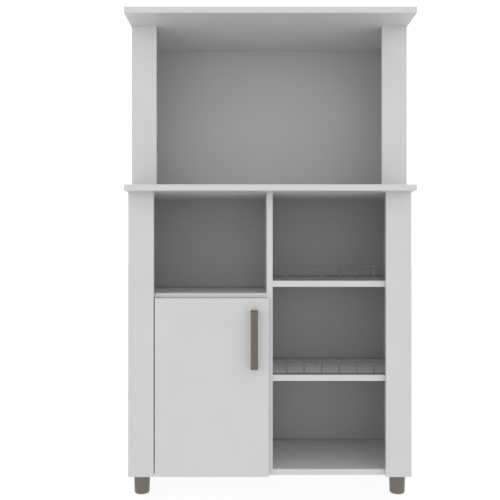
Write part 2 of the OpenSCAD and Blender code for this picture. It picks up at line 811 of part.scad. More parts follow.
// A pressed cup with two cheeks that hold the pin
module hinge_cup(z) {
    color(steel) at_cup(z) difference() {
        union() {
            difference() {
                union() {
                    translate([0, 0, -cup_depth]) cylinder(h = cup_depth, d = cup_d);
                    linear_extrude(flange_t) cup_flange();
                }
                translate([0, 0, cup_wall - cup_depth])
                    cylinder(h = cup_depth + flange_t + cut, d = cup_d - 2 * cup_wall);
            }
            intersection() {
                translate([0, 0, -cup_depth]) cylinder(h = cup_depth, d = cup_d - cup_wall);
                for (side = [-1, 1])
                    translate([pin_x - cup_x, side * (cheek_at + cheek_t / 2), -cup_depth / 2])
                        cube([cheek_w, cheek_t, cup_depth], center = true);
            }
        }
        translate([pin_x - cup_x, 0, pin_y - door_rear_y]) rotate([90, 0, 0])
            cylinder(h = 2 * (cheek_at + cheek_t), d = pin_d, center = true);
        for (side = [-1, 1]) translate([flange_out, side * cup_screw_at, -cut])
            cylinder(h = flange_t + 2 * cut, d = cup_screw_d + 2 * fastener_clear);
    }
}

module hinge_pins() {
    color(steel) for (z = hinge_zs)
        translate([pin_x, pin_y, z])
            cylinder(h = 2 * (cheek_at + cheek_t), d = pin_d, center = true);
}

module cup_screws() {
    color(steel) for (z = hinge_zs, side = [-1, 1]) at_cup(z)
        translate([flange_out, side * cup_screw_at, flange_t]) rotate([180, 0, 0])
            screw(cup_screw_l, cup_screw_d, cup_screw_head_d, cup_screw_head_h, false);
}

// A strip bent like a swan's neck, ending in a channel that sits on the plate
module hinge_arm(z) {
    color(steel) translate([0, 0, z]) difference() {
        union() {
            linear_extrude(arm_h, center = true) {
                strip_path(arm_path, arm_t);
                translate(arm_path[0]) circle(arm_eye_r);
            }
            for (side = [-1, 1])
                board([plate_face_x, arm_path[4].y, side * channel_wall_z - channel_wall / 2],
                      [channel_x, channel_end_y, side * channel_wall_z + channel_wall / 2]);
        }
        translate(arm_path[0])
            cylinder(h = arm_h + 2 * cut, r = pin_d / 2 + pin_clear, center = true);
        for (at = arm_screw_at)
            translate([plate_face_x, plate_y + at, 0]) rotate([0, 90, 0])
                cylinder(h = channel_h + cut, d = arm_screw_d + 2 * fastener_clear);
    }
}

module hinge_plate(z) {
    color(steel) translate([batten_face_x, plate_y, z]) difference() {
        rotate([90, 0, 90]) linear_extrude(plate_t) round_rect(plate_l, plate_h, plate_r);
        for (side = [-1, 1])
            translate([plate_t, 0, side * plate_screw_at]) rotate([0, -90, 0]) {
                cylinder(h = plate_screw_head_h,
                         d1 = plate_screw_head_d + 2 * fastener_clear,
                         d2 = plate_screw_d + 2 * fastener_clear);
                translate([0, 0, -cut])
                    cylinder(h = plate_t + 2 * cut, d = plate_screw_d + 2 * fastener_clear);
            }
        for (at = arm_screw_at)
            translate([-cut, at, 0]) rotate([0, 90, 0])
                cylinder(h = plate_t + 2 * cut, d = arm_screw_d + 2 * fastener_clear);
    }
}

module plate_screws() {
    color(steel) for (z = hinge_zs, side = [-1, 1])
        translate([plate_face_x, plate_y, z + side * plate_screw_at]) rotate([0, -90, 0])
            screw(plate_screw_l, plate_screw_d, plate_screw_head_d, plate_screw_head_h, true);
}

// The two screws on each arm clamp it to its plate
module arm_screws() {
    color(steel) for (z = hinge_zs, at = arm_screw_at)
        translate([plate_face_x + channel_h, plate_y + at, z]) rotate([0, -90, 0])
            screw(channel_h + plate_t - bolt_end_gap, arm_screw_d, arm_screw_head_d,
                  arm_screw_head_h, false);
}

// ---- Wire rails ----

// Holes that take the ends of both rails' long wires
module rail_holes(x, towards) {
    for (shelf_z = rack_zs, h = [rail_foot, rail_h])
        translate([x - towards * cut, rail_y, shelf_z + board_t + h])
            rotate([0, towards * 90, 0])
                cylinder(h = face_hole + cut, d = rail_wire_d + 2 * fastener_clear);
}

// Two long wires with upright wires welded behind them
module wire_rail(shelf_z) {
    color(taupe) translate([0, 0, shelf_z + board_t]) {
        for (h = [rail_foot, rail_h])
            translate([rail_left_x, rail_y, h]) rotate([0, 90, 0])
                cylinder(h = rail_right_x - rail_left_x, d = rail_wire_d);
        for (x = [divider_x + post_in : post_pitch : post_last_x])
            translate([x, post_y, rail_foot - rail_wire_d / 2])
                cylinder(h = rail_h - rail_foot + rail_wire_d, d = post_wire_d);
    }
}

// ---- Legs ----

// Outline of half a leg: a tapered wall, a thick top and a hollow that opens downwards
module leg_profile() {
    top_r = leg_top_d / 2;
    foot_r = leg_foot_d / 2;
    difference() {
        union() {
            polygon([[0, leg_foot_r], [foot_r, leg_foot_r], [top_r, leg_h], [0, leg_h]]);
            square([foot_r - leg_foot_r, leg_foot_r]);
            translate([foot_r - leg_foot_r, leg_foot_r]) circle(leg_foot_r);
        }
        translate([0, -cut]) square([foot_r - leg_wall, leg_h - leg_web_skin + cut]);
        translate([-leg_top_d, -cut]) square([leg_top_d, leg_h + 2 * cut]);
    }
}

// A moulded leg, hollow below, with a ribbed boss round its screw
module leg(x, y) {
    color(taupe) translate([x, y, 0]) difference() {
        union() {
            rotate_extrude() leg_profile();
            translate([0, 0, leg_boss_lift])
                cylinder(h = leg_h - leg_boss_lift - leg_web_skin / 2, d = leg_boss_d);
            for (turn = [0, 90]) rotate(turn)
                translate([-(leg_foot_d / 2 - leg_wall / 2), -leg_rib_t / 2, leg_rib_lift])
                    cube([leg_foot_d - leg_wall, leg_rib_t,
                          leg_h - leg_rib_lift - leg_web_skin / 2]);
        }
        translate([0, 0, -cut]) cylinder(h = leg_h - leg_web + cut, d = leg_boss_hole_d);
        translate([0, 0, -cut])
            cylinder(h = leg_h + 2 * cut, d = leg_screw_d + 2 * fastener_clear);
    }
}

module leg_screws() {
    color(steel) for (x = [-leg_xs, leg_xs], y = [leg_front_y, leg_rear_y])
        translate([x, y, leg_h - leg_web])
            screw(leg_screw_l, leg_screw_d, leg_screw_head_d, leg_screw_head_h, false);
}

// ---- Small fittings ----

// A pin: a peg in the side, a collar, and a stub under the loose shelf
module shelf_pin() {
    rotate_extrude()
        polygon([[0, -face_hole + bolt_end_gap], [shelf_pin_d / 2, -face_hole + bolt_end_gap],
                 [shelf_pin_d / 2, 0], [shelf_pin_collar_d / 2, 0],
                 [shelf_pin_collar_d / 2, shelf_pin_collar_t], [shelf_pin_d / 2, shelf_pin_collar_t],
                 [shelf_pin_d / 2, shelf_pin_out], [0, shelf_pin_out]]);
}

module shelf_pins() {
    color(steel) for (y = pin_hole_ys) {
        translate([-side_inner_x, y, pin_hole_z]) rotate([0, 90, 0]) shelf_pin();
        translate([-divider_x, y, pin_hole_z]) rotate([0, -90, 0]) shelf_pin();
    }
}

// A cam: a drum with a way in for the bolt's head and a cross for the driver
module cam_locks() {
    face = board_t / 2 - cam_under;
    color(steel) at_stations(all_cams) difference() {
        translate([face - cam_l, 0, cam_back]) rotate([0, 90, 0])
            cylinder(h = cam_l, d = cam_d - 2 * fastener_clear);
        translate([0, 0, cam_back - cam_d])
            cylinder(h = cam_d + bolt_head_l, d = cam_entry_d);
        for (turn = [0, 90])
            translate([face, 0, cam_back]) rotate([turn, 0, 0])
                cube([2 * cam_cross_deep, cam_cross_w, cam_cross_l], center = true);
    }
}

module cam_bolts() {
    reach = cam_back + bolt_head_l / 2;
    color(steel) at_stations(all_cams) rotate_extrude()
        polygon([[0, -face_hole + bolt_end_gap], [bolt_d / 2, -face_hole + bolt_end_gap],
                 [bolt_d / 2, reach - bolt_head_l - bolt_neck_l],
                 [bolt_neck_d / 2, reach - bolt_head_l - bolt_neck_l],
                 [bolt_neck_d / 2, reach - bolt_head_l], [bolt_head_d / 2, reach - bolt_head_l],
                 [bolt_head_d / 2, reach], [0, reach]]);
}

module wood_dowels() {
    low = -face_hole + bolt_end_gap;
    r = dowel_d / 2;
    color(beech) at_stations(all_dowels) rotate_extrude()
        polygon([[0, low], [r - dowel_bevel, low], [r, low + dowel_bevel],
                 [r, dowel_l_end - dowel_bevel], [r - dowel_bevel, dowel_l_end],
                 [0, dowel_l_end]]);
}

module back_nails() {
    color(steel) for (p = concat(hutch_nails, lower_nails))
        translate([p[0], back_outer_y, p[1]]) rotate([90, 0, 0])
            screw(nail_l, nail_d, nail_head_d, nail_head_t, false);
}

// ---- The cabinet ----

top_board();
worktop();
bottom_board();
hutch_side();  // hutch_side_left
mirror([1, 0, 0]) hutch_side();  // hutch_side_right
lower_side_left();
lower_side_right();
hutch_trim();  // hutch_trim_left
mirror([1, 0, 0]) hutch_trim();  // hutch_trim_right
lower_trim_left();
lower_trim_right();
centre_divider();
fixed_shelf();
rack_shelf(upper_rack_z);  // upper_rack_shelf
rack_shelf(lower_rack_z);  // lower_rack_shelf
loose_shelf();
hinge_batten();
hutch_back();
cupboard_back();
rack_back();
door();
door_handle();
handle_screws();
door_bumpers();
hinge_cup(hinge_zs[1]);  // upper_hinge_cup
hinge_cup(hinge_zs[0]);  // lower_hinge_cup
hinge_arm(hinge_zs[1]);  // upper_hinge_arm
hinge_arm(hinge_zs[0]);  // lower_hinge_arm
hinge_plate(hinge_zs[1]);  // upper_hinge_plate
hinge_plate(hinge_zs[0]);  // lower_hinge_plate
hinge_pins();
cup_screws();
plate_screws();
arm_screws();
wire_rail(upper_rack_z);  // upper_wire_rail
wire_rail(lower_rack_z);  // lower_wire_rail
leg(-leg_xs, leg_front_y);  // front_left_leg
leg(leg_xs, leg_front_y);  // front_right_leg
leg(-leg_xs, leg_rear_y);  // rear_left_leg
leg(leg_xs, leg_rear_y);  // rear_right_leg
leg_screws();
shelf_pins();
cam_locks();
cam_bolts();
wood_dowels();
back_nails();
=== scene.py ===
import math

import bpy
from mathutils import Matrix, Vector


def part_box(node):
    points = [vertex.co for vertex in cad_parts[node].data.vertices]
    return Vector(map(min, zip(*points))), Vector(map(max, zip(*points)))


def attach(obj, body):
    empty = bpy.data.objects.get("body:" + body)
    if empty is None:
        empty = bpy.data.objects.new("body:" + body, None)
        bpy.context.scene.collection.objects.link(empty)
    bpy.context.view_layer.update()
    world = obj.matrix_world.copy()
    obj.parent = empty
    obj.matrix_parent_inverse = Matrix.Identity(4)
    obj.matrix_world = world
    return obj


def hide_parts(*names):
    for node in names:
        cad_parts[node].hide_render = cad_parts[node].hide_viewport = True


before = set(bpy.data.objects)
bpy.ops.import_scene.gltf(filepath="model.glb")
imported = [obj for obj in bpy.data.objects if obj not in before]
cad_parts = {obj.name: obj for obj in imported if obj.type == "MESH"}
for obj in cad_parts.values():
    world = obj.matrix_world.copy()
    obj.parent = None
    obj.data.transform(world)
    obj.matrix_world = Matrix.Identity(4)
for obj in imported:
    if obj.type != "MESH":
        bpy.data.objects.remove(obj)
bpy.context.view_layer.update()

BOARDS = ["top_board", "worktop", "bottom_board", "hutch_side_left", "hutch_side_right",
          "lower_side_left", "lower_side_right", "hutch_trim_left", "hutch_trim_right",
          "lower_trim_left", "lower_trim_right", "centre_divider", "fixed_shelf",
          "upper_rack_shelf", "lower_rack_shelf", "loose_shelf", "hinge_batten"]
# Boards whose ends show, so that their end edges are rounded as well
ENDS_SHOW = ["top_board", "worktop", "door"]
BACKS = ["hutch_back", "cupboard_back", "rack_back"]
LEGS = ["front_left_leg", "front_right_leg", "rear_left_leg", "rear_right_leg"]
RAILS = ["upper_wire_rail", "lower_wire_rail"]
HINGE_CUPS = ["upper_hinge_cup", "lower_hinge_cup"]
ARMS_AND_PLATES = ["upper_hinge_arm", "lower_hinge_arm", "upper_hinge_plate", "lower_hinge_plate"]
ZINC_FITTINGS = ["hinge_pins", "shelf_pins", "cam_locks", "cam_bolts", "back_nails"]
CARCASS = "carcass"
DOOR_LEAF = "door_leaf"
# Each group of screws: its body, the way its heads face and the length of the driver's cross
SCREWS = [("handle_screws", DOOR_LEAF, (0, 1, 0), 0.0046),
          ("cup_screws", DOOR_LEAF, (0, 1, 0), 0.0038),
          ("plate_screws", CARCASS, (1, 0, 0), 0.0044),
          ("arm_screws", CARCASS, (1, 0, 0), 0.0044),
          ("leg_screws", CARCASS, (0, 0, -1), 0.005)]

# Points nearer to each other than this are one point
same_place = 0.00002
# Facets that turn by less than this, in degrees, are one flat face
flat_turn = 0.3
# A face is square to a direction when its normal points along it by more than this
square_on = 0.99
# A drilled hole's wall is made of facets with less than hole_facet of area, and its floor is a
# face with floor_sides sides or more and less than hole_floor of area. The faces of a cut step
# are neither.
hole_facet = 0.00005
hole_floor = 0.001
floor_sides = 12

# The rounding of each kind of piece's edges, and its steps. The boards' edges get all of it, and
# the others as much as their smallest facets leave room for.
board_round = 0.0007
moulded_round = 0.0006
wire_round = 0.0003
panel_round = 0.0003
pressed_round = 0.00025
round_steps = 2
# Edges that turn by more than this, in degrees, are rounded
round_turn = 40
# Edges that turn by less than smooth_turn, in degrees, are shaded smooth, and on a welded rail
# those under bead_turn
smooth_turn = 35
bead_turn = 60

# Wire rails: half the width of a long wire, and the upright wires, spaced evenly from the divider
wire_radius = 0.002
first_post = 0.051
post_step = 0.052
posts = 7
# Weld beads: how far behind the rail's front they lie, half their size each way, their facets
# and how uneven they are
weld_back = 0.0036
bead_size = (0.0027, 0.0010, 0.0019)
bead_sides = 20
bead_rings = 10
bead_lumps = 0.0001

# A driver's cross: width and depth of a bar to its length, width and length of its tip to those
# of its mouth, and the turn in radians from screw to screw
cross_wide = 0.24
cross_deep = 0.3
tip_wide = 0.8
tip_long = 0.4
head_turn = 0.7
# Points of one screw's head lie nearer to each other than this
head_reach = 0.012

# How high the painted shade line reaches over a board
painted_shade_reach = 0.008

# The light's strength from the level and below, and from straight overhead
tent_level = 1.385
tent_top = 0.80
# The floor's grey, and its own glow, which keeps shadows faint
floor_grey = 0.12
floor_glow = 0.86
floor_radius = 30
floor_corners = 96
# The camera's place follows from the photo's perspective. Its lens and the width of its picture
# are in millimetres.
camera_place = (-0.0584, -2.1845, 0.722)
lens_length = 50
picture_width = 36


# ---- Finishes ----

class Amount:
    """A number that varies over a surface. Arithmetic with it adds Math nodes."""

    def __init__(self, nodes, socket):
        self.nodes = nodes
        self.socket = socket

    def sum_node(self, operation, first, second):
        return self.nodes.node("Math", {"operation": operation}, {0: first, 1: second})

    def __add__(self, other):
        return self.sum_node("ADD", self, other)

    def __radd__(self, other):
        return self.sum_node("ADD", other, self)

    def __sub__(self, other):
        return self.sum_node("SUBTRACT", self, other)

    def __rsub__(self, other):
        return self.sum_node("SUBTRACT", other, self)

    def __mul__(self, other):
        return self.sum_node("MULTIPLY", self, other)

    def __rmul__(self, other):
        return self.sum_node("MULTIPLY", other, self)


class Nodes:
    """The nodes of a material, or of the light all round."""

    def __init__(self, tree):
        self.tree = tree

    def node(self, kind, settings, values, output=0):
        """Adds one node: its settings first, then the values or links of its sockets."""
        made = self.tree.nodes.new("ShaderNode" + kind)
        for name, value in settings.items():
            if name == "stops":
                ramp = made.color_ramp.elements
                while len(ramp) < len(value):
                    ramp.new(0.5)
                for stop, (position, colour) in zip(ramp, value):
                    stop.position = position
                    stop.color = (*colour, 1)
            else:
                setattr(made, name, value)
        for name, value in values.items():
            if isinstance(value, Amount):
                self.tree.links.new(value.socket, made.inputs[name])
            else:
                made.inputs[name].default_value = value
        return Amount(self, made.outputs[output])


class Finish(Nodes):
    """A material, built on the place of each point of the cabinet."""

    def __init__(self, name, colour, roughness, metallic=0.0):
        self.material = bpy.data.materials.new(name)
        self.material.use_nodes = True
        self.material.diffuse_color = (*colour, 1)
        super().__init__(self.material.node_tree)
        self.shader = self.tree.nodes["Principled BSDF"]
        self.shader.inputs["Base Color"].default_value = (*colour, 1)
        self.shader.inputs["Roughness"].default_value = roughness
        self.shader.inputs["Metallic"].default_value = metallic
        self.place = self.node("TexCoord", {}, {}, "Object")

    def stretched(self, x, y, z):
        """The place, with each direction scaled."""
        return self.node("Mapping", {}, {"Vector": self.place, "Scale": (x, y, z)})

    def noise(self, scale, detail, place=None):
        return self.node("TexNoise", {}, {"Vector": place or self.place, "Scale": scale,
                                          "Detail": detail}, "Fac")

    def cells(self, scale, output):
        return self.node("TexVoronoi", {}, {"Vector": self.place, "Scale": scale}, output)

    def waves(self, scale, direction):
        bands = {"wave_type": "BANDS", "bands_direction": direction}
        return self.node("TexWave", bands, {"Vector": self.place, "Scale": scale}, "Fac")

    def between(self, amount, low, high):
        """Zero at low, one at high, and smooth between them."""
        return self.node("MapRange", {"interpolation_type": "SMOOTHSTEP"},
                         {"Value": amount, "From Min": low, "From Max": high})

    def shades(self, amount, *stops):
        """A colour for each amount, from stops of a position and its colour."""
        return self.node("ValToRGB", {"stops": stops}, {"Fac": amount})

    def blend(self, amount, first, second):
        return self.node("Mix", {"data_type": "RGBA"}, {0: amount, 6: first, 7: second}, 2)

    def show(self, socket, amount):
        self.tree.links.new(amount.socket, self.shader.inputs[socket])

    def relief(self, height, depth, strength):
        """Surface relief, from zero to depth."""
        bump = self.node("Bump", {}, {"Height": height, "Distance": depth,
                                      "Strength": strength})
        self.show("Normal", bump)


def shade(grey):
    return (grey, grey, grey, 1)


def white_laminate():
    """Melamine-faced board: a fine orange peel, a faint mottle and light handling marks."""
    finish = Finish("white_laminate", (0.57, 0.57, 0.57), 0.42)
    mottle = finish.noise(9, 4)
    grain = finish.noise(2600, 2)
    colour = finish.shades(mottle, (0.3, (0.559, 0.561, 0.562)), (0.7, (0.583, 0.583, 0.581)))
    speck = finish.between(grain, 0.35, 0.65)
    finish.show("Base Color", finish.blend(0.05 * speck, colour, shade(0.5)))
    rubbed = finish.between(finish.noise(26, 5, finish.stretched(1, 1, 0.35)), 0.56, 0.7)
    finish.show("Roughness", 0.40 + 0.05 * grain + 0.07 * rubbed)
    finish.relief(finish.noise(1400, 2), 0.00003, 0.5)
    return finish.material


def edge_band():
    """The plastic band on a board's edge: smoother than the faces, and finely mottled."""
    finish = Finish("edge_band", (0.58, 0.58, 0.58), 0.34)
    mottle = finish.noise(420, 3)
    colour = finish.shades(mottle, (0.3, (0.57, 0.57, 0.57)), (0.7, (0.59, 0.59, 0.588)))
    finish.show("Base Color", colour)
    finish.show("Roughness", 0.30 + 0.10 * mottle)
    finish.relief(mottle, 0.00002, 0.4)
    return finish.material


def chipboard():
    """The bare core in a drilled hole: pressed chips of several browns."""
    chips = 520
    finish = Finish("chipboard_core", (0.42, 0.29, 0.17), 0.85)
    tone = finish.node("RGBToBW", {}, {"Color": finish.cells(chips, "Color")})
    finish.show("Base Color", finish.shades(tone, (0.1, (0.24, 0.15, 0.08)),
                                            (0.5, (0.42, 0.29, 0.17)),
                                            (0.9, (0.58, 0.44, 0.28))))
    finish.relief(finish.cells(chips, "Distance"), 0.0003, 0.8)
    return finish.material


def painted_shade_over(finish, boards):
    """A line of painted shade just over each board's upper face, where the corner's shade falls,
    fading out upwards.
    """
    height = finish.node("SeparateXYZ", {}, {"Vector": finish.place}, "Z")
    painted_shade = 0
    for node in boards:
        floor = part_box(node)[1].z
        painted_shade = painted_shade + finish.between(height, floor - same_place, floor) * (
            1 - finish.between(height, floor, floor + painted_shade_reach))
    return painted_shade


def lacquered_hardboard(name, grey, boards):
    """The inner face of a back panel: thin white lacquer over fibres, greyer than the boards,
    with a line of painted shade over each board that it meets."""
    finish = Finish(name, (grey, grey, 0.99 * grey), 0.5)
    cloud = finish.noise(6, 4)
    fibre = finish.noise(700, 4, finish.stretched(1, 1, 0.3))
    colour = finish.shades(cloud, (0.3, (0.975 * grey, 0.975 * grey, 0.97 * grey)),
                           (0.7, (1.03 * grey, 1.03 * grey, 1.02 * grey)))
    worn = finish.blend(0.10 * finish.between(fibre, 0.4, 0.7), colour, shade(0.8 * grey))
    # Painted shade: darker just over each board that the back meets; it also makes the lacquer
    # rougher there
    painted_shade = painted_shade_over(finish, boards)
    finish.show("Base Color", finish.blend(0.45 * painted_shade, worn, shade(0.3 * grey)))
    finish.show("Roughness", 0.44 + 0.12 * fibre + 0.2 * painted_shade)
    finish.relief(fibre, 0.00005, 0.5)
    return finish.material


def bare_hardboard():
    """The rear of a back panel: brown fibres pressed on a wire screen."""
    fibres = 620
    wires = 210
    finish = Finish("bare_hardboard", (0.23, 0.15, 0.09), 0.75)
    upright = finish.noise(fibres, 4, finish.stretched(1, 1, 0.2))
    level = finish.noise(fibres, 4, finish.stretched(0.2, 1, 1))
    fibre = 0.5 * upright + 0.5 * level
    colour = finish.shades(fibre, (0.38, (0.185, 0.118, 0.068)), (0.5, (0.225, 0.147, 0.088)),
                           (0.62, (0.275, 0.184, 0.113)))
    fleck = finish.between(finish.noise(1100, 2), 0.64, 0.7)
    flecked = finish.blend(0.5 * fleck, colour, (0.10, 0.06, 0.035, 1))
    blotch = finish.between(finish.noise(5, 4), 0.45, 0.7)
    finish.show("Base Color", finish.blend(0.2 * blotch, flecked, (0.15, 0.095, 0.055, 1)))
    finish.show("Roughness", 0.66 + 0.2 * fibre)
    screen = finish.waves(wires, "X") * finish.waves(wires, "Z")
    finish.relief(screen + 0.4 * fibre, 0.00025, 0.7)
    return finish.material


def taupe_plastic(name, colour):
    """Moulded plastic with a fine spark-eroded texture and lighter high spots."""
    finish = Finish(name, colour, 0.45)
    cloud = finish.noise(30, 3)
    grain = finish.noise(3200, 2)
    dark = tuple(0.93 * part for part in colour)
    light = tuple(1.07 * part for part in colour)
    high_spots = (*(1.5 * part for part in colour), 1)
    clouded = finish.shades(cloud, (0.3, dark), (0.7, light))
    finish.show("Base Color", finish.blend(0.12 * grain, clouded, high_spots))
    finish.show("Roughness", 0.40 + 0.16 * grain)
    finish.relief(grain, 0.00006, 0.6)
    return finish.material


def taupe_powder():
    """Powder coat on wire: an even orange peel with slightly rougher crowns."""
    finish = Finish("taupe_wire", (0.105, 0.098, 0.083), 0.4)
    peel = finish.noise(900, 2)
    colour = finish.shades(peel, (0.3, (0.092, 0.086, 0.073)), (0.7, (0.118, 0.11, 0.093)))
    finish.show("Base Color", colour)
    finish.show("Roughness", 0.32 + 0.16 * peel)
    finish.relief(peel, 0.00008, 0.7)
    return finish.material


def nickel():
    """Pressed and nickel-plated steel, with fine rolling lines and faint handling marks."""
    finish = Finish("hinge_steel", (0.62, 0.60, 0.57), 0.26, 1.0)
    lines = finish.noise(160, 4, finish.stretched(1, 1, 14))
    marks = finish.between(finish.noise(90, 4), 0.55, 0.72)
    colour = finish.shades(lines, (0.3, (0.57, 0.555, 0.53)), (0.7, (0.66, 0.645, 0.615)))
    finish.show("Base Color", colour)
    finish.show("Roughness", 0.20 + 0.10 * lines + 0.12 * marks)
    finish.relief(lines, 0.00002, 0.35)
    return finish.material


def zinc():
    """Zinc-plated fittings: a cool grey with a fine crystal mottle."""
    finish = Finish("fitting_steel", (0.55, 0.56, 0.58), 0.36, 1.0)
    crystals = finish.node("RGBToBW", {}, {"Color": finish.cells(1300, "Color")})
    colour = finish.shades(crystals, (0.2, (0.47, 0.48, 0.5)), (0.8, (0.62, 0.63, 0.64)))
    finish.show("Base Color", colour)
    finish.show("Roughness", 0.28 + 0.18 * crystals)
    finish.relief(finish.noise(1500, 3), 0.00003, 0.4)
    return finish.material


def beech_wood():
    """Turned beech: short dark rays on pink-brown wood."""
    finish = Finish("beech", (0.56, 0.38, 0.21), 0.6)
    rings = finish.noise(120, 4, finish.stretched(1, 1, 0.4))
    rays = finish.between(finish.noise(900, 2, finish.stretched(1, 1, 0.25)), 0.6, 0.7)
    colour = finish.shades(rings, (0.3, (0.50, 0.33, 0.18)), (0.7, (0.62, 0.44, 0.26)))
    finish.show("Base Color", finish.blend(0.5 * rays, colour, (0.36, 0.21, 0.10, 1)))
    finish.relief(rings, 0.0001, 0.5)
    return finish.material


def soft_pad():
    """A clear soft bumper: glossy and slightly cloudy."""
    finish = Finish("clear_pad", (0.80, 0.81, 0.81), 0.15)
    finish.shader.inputs["Transmission Weight"].default_value = 0.6
    finish.shader.inputs["IOR"].default_value = 1.48
    finish.show("Roughness", 0.10 + 0.12 * finish.noise(500, 3))
    finish.relief(finish.noise(300, 2), 0.00005, 0.4)
    return finish.material


laminate = white_laminate()
band = edge_band()
core = chipboard()
# The lower backs' lacquer is greyer than the hutch back's: painted shade of the deeper, darker
# lower bays
lacquers = {
    "hutch_back": lacquered_hardboard("hutch_lacquer", 0.44, ["worktop"]),
    "cupboard_back": lacquered_hardboard("cupboard_lacquer_painted_shade", 0.365,
                                         ["bottom_board", "fixed_shelf"]),
    "rack_back": lacquered_hardboard("rack_lacquer_painted_shade", 0.365,
                                     ["bottom_board", "lower_rack_shelf", "upper_rack_shelf"])}
hardboard = bare_hardboard()
leg_plastic = taupe_plastic("leg_plastic", (0.128, 0.113, 0.094))
handle_plastic = taupe_plastic("handle_plastic", (0.124, 0.098, 0.071))
powder = taupe_powder()
nickel_steel = nickel()
zinc_steel = zinc()
beech = beech_wood()
pad = soft_pad()


# ---- Work on meshes ----

def stand_alone(piece):
    """Makes the piece the only selected object, and the active one."""
    bpy.ops.object.select_all(action="DESELECT")
    piece.select_set(True)
    bpy.context.view_layer.objects.active = piece


def copy_of(node):
    """A copy of a CAD node's mesh as a piece of its own: doubles merged and flats made whole."""
    piece = bpy.data.objects.new(node + "_piece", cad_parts[node].data.copy())
    bpy.context.scene.collection.objects.link(piece)
    piece.data.materials.clear()
    stand_alone(piece)
    bpy.ops.mesh.customdata_custom_splitnormals_clear()
    bpy.ops.object.mode_set(mode="EDIT")
    bpy.ops.mesh.select_all(action="SELECT")
    bpy.ops.mesh.remove_doubles(threshold=same_place)
    bpy.ops.mesh.dissolve_limited(angle_limit=math.radians(flat_turn))
    bpy.ops.mesh.select_all(action="DESELECT")
    bpy.ops.object.mode_set(mode="OBJECT")
    return piece


def stands_for(piece, node, body):
    """Shows the piece in the node's place, as a part of its body."""
    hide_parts(node)
    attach(piece, body)


def smooth(piece, turn=smooth_turn):
    """Shades curves smoothly, and lets the large flats keep their faces flat."""
    stand_alone(piece)
    bpy.ops.object.shade_smooth_by_angle(angle=math.radians(turn))
    weighted = piece.modifiers.new("flats", "WEIGHTED_NORMAL")
    weighted.mode = "FACE_AREA"
    weighted.weight = 100
    weighted.keep_sharp = True
    bpy.ops.object.modifier_apply(modifier=weighted.name)


def soften(piece, width):
    """Breaks the sharp edges of a piece, as far as its smallest facets leave room."""
    bevel = piece.modifiers.new("soft_edges", "BEVEL")
    bevel.width = width
    bevel.segments = round_steps
    bevel.limit_method = "ANGLE"
    bevel.angle_limit = math.radians(round_turn)
    stand_alone(piece)
    bpy.ops.object.modifier_apply(modifier=bevel.name)


def join(pieces, whole):
    """Joins the pieces into one of them."""
    bpy.ops.object.select_all(action="DESELECT")
    for piece in pieces:
        piece.select_set(True)
    bpy.context.view_layer.objects.active = whole
    bpy.ops.object.join()


def cut_away(piece, tool):
    """Takes the tool's shape out of the piece, and the tool away."""
    cut = piece.modifiers.new("cut", "BOOLEAN")
    cut.operation = "DIFFERENCE"
    cut.solver = "EXACT"
    cut.use_self = True
    cut.object = tool
    stand_alone(piece)
    bpy.ops.object.modifier_apply(modifier=cut.name)
    bpy.data.objects.remove(tool)


# ---- Boards, door and backs ----

def on_sides(point, low, high):
    """How many of the box's six sides the point lies on."""
    return sum(abs(point[i] - side[i]) < same_place for i in range(3) for side in (low, high))


def round_board_edges(piece, low, high, ends_show):
    """Rounds a board's long edges, and its end edges where they show, but no drilled hole. Such
    an edge lies on two sides of the board's box, all along."""
    size = high - low
    long = max(range(3), key=lambda i: size[i])
    for edge in piece.data.edges:
        ends = [piece.data.vertices[i].co for i in edge.vertices]
        middle = (ends[0] + ends[1]) / 2
        runs_along = abs(ends[0][long] - ends[1][long]) > same_place
        edge.select = (ends_show or runs_along) and all(
            on_sides(place, low, high) >= 2 for place in (middle, *ends))
    bpy.ops.object.mode_set(mode="EDIT")
    bpy.ops.mesh.select_mode(type="EDGE")
    bpy.ops.mesh.bevel(offset=board_round, segments=round_steps, affect="EDGES",
                       clamp_overlap=False)
    bpy.ops.mesh.select_all(action="DESELECT")
    bpy.ops.object.mode_set(mode="OBJECT")


def paint_board(piece, low, high):
    """Laminate on the large faces, band on the narrow ones and the steps, core in the holes. A
    face is outside if its middle is within two roundings of a side of the board's box."""
    size = high - low
    thin = min(range(3), key=lambda i: size[i])
    finishes = [laminate, band, core]
    for material in finishes:
        piece.data.materials.append(material)
    for face in piece.data.polygons:
        outside = any(abs(face.center[i] - side[i]) < 2 * board_round
                      for i in range(3) for side in (low, high))
        floor_of_hole = len(face.vertices) >= floor_sides and face.area < hole_floor
        if not outside and (face.area < hole_facet or floor_of_hole):
            face.material_index = finishes.index(core)
        elif not outside or abs(face.normal[thin]) < square_on:
            face.material_index = finishes.index(band)


for node in BOARDS + ["door"]:
    low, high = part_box(node)
    board = copy_of(node)
    round_board_edges(board, low, high, node in ENDS_SHOW)
    paint_board(board, low, high)
    smooth(board)
    stands_for(board, node, DOOR_LEAF if node == "door" else CARCASS)

for node in BACKS:
    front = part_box(node)[0].y
    panel = copy_of(node)
    finishes = [hardboard, lacquers[node]]
    for material in finishes:
        panel.data.materials.append(material)
    for face in panel.data.polygons:
        if face.normal.y < -square_on and abs(face.center.y - front) < same_place:
            face.material_index = finishes.index(lacquers[node])
    soften(panel, panel_round)
    smooth(panel)
    stands_for(panel, node, CARCASS)


# ---- Handle, legs, rails, hinges and fittings ----

def dressed(node, material, body, rounding):
    """The piece for a CAD node, in its finish and with its sharp edges broken."""
    piece = copy_of(node)
    piece.data.materials.append(material)
    soften(piece, rounding)
    smooth(piece)
    stands_for(piece, node, body)
    return piece


